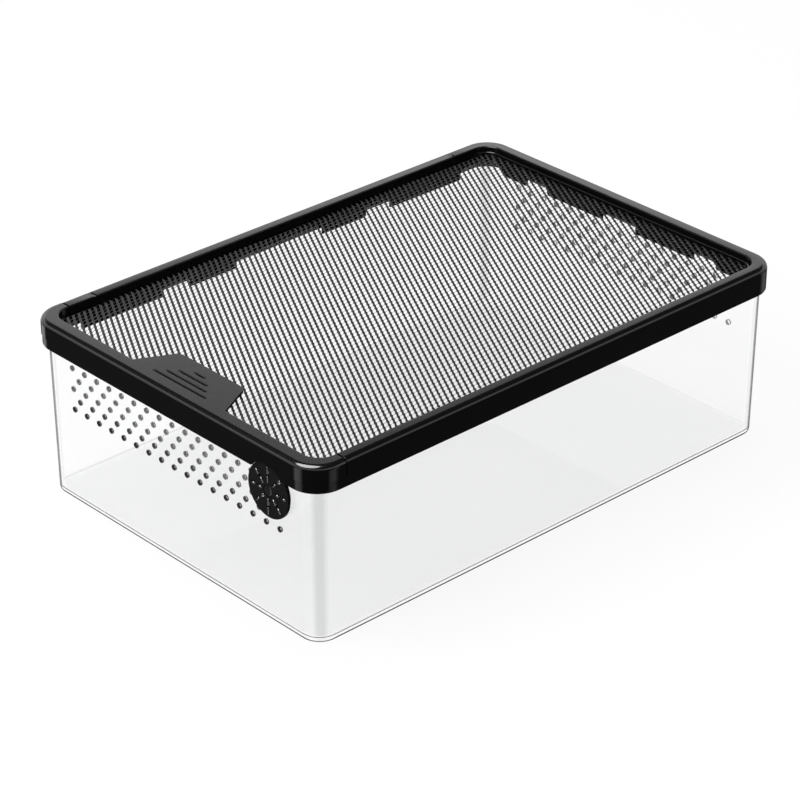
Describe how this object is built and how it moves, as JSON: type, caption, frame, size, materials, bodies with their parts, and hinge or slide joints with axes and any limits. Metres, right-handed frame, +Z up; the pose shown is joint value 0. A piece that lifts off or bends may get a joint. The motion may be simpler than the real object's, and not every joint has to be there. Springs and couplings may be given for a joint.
{
  "type": "reptile breeding box",
  "caption": "Clear tub with vented end walls, a lift-off lid frame, a sliding mesh top panel with a thumb tab, and a turning vent dial.",
  "frame": {"origin": "middle of the tub's underside, on the surface the box stands on", "axes": "+Z up, X along the box with the thumb tab and the vent dial at -X, Y across the box"},
  "size_m": [0.3254, 0.2208, 0.101],
  "materials": {
    "clear_plastic": "clear polished polystyrene",
    "lid_plastic": "black gloss moulding",
    "panel_plastic": "black gloss moulding",
    "coated_mesh": "black coated expanded steel",
    "dial_plastic": "black satin moulding",
    "pivot_plastic": "black satin moulding"
  },
  "bodies": {
    "tub": {"tub": "clear_plastic", "vent_pivot": "pivot_plastic"},
    "lid": {"lid_frame": "lid_plastic"},
    "panel": {"slide_frame": "panel_plastic", "mesh_screen": "coated_mesh"},
    "dial": {"vent_dial": "dial_plastic"}
  },
  "joints": [
    {"name": "lid_lift", "type": "slide", "parent": "tub", "child": "lid", "axis": [0, 0, 1], "range_m": [0, 0.1]},
    {"name": "panel_slide", "type": "slide", "parent": "lid", "child": "panel", "axis": [-1, 0, 0], "range_m": [0, 0.3]},
    {"name": "dial_turn", "type": "hinge", "parent": "tub", "child": "dial", "pos_m": [-0.1606, -0.075, 0.0763], "axis": [-1, 0, 0], "range_deg": [0, 22.5]}
  ]
}
